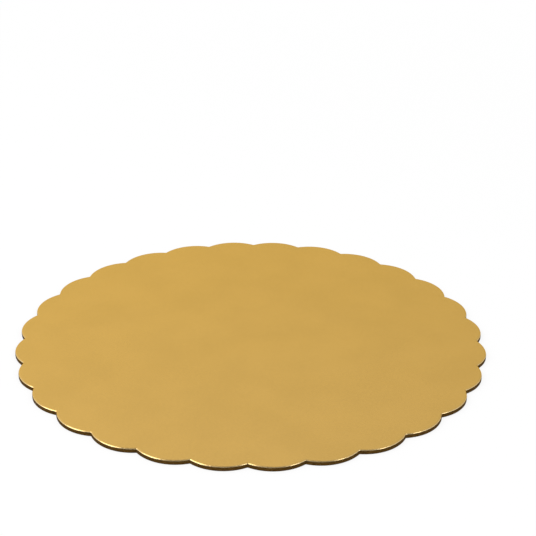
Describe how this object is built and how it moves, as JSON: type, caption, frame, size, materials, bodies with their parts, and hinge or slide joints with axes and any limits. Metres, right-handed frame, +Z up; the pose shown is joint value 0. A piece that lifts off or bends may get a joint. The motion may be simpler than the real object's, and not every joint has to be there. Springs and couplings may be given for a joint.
{
  "type": "cake board",
  "caption": "Flat round cake board with a scalloped rim, die-cut from one sheet of solid board with a satin gold foil face and a rolled top edge.",
  "frame": {"origin": "centre of the underside, on the surface that the board lies on", "axes": "+Z up, square to the foil face; a notch of the scalloped rim lies on each of -Y, +Y, -X and +X"},
  "size_m": [0.2386, 0.2386, 0.0024],
  "materials": {
    "gold_board": "satin"
  },
  "bodies": {
    "root": {"cake_board": "gold_board"}
  },
  "joints": []
}
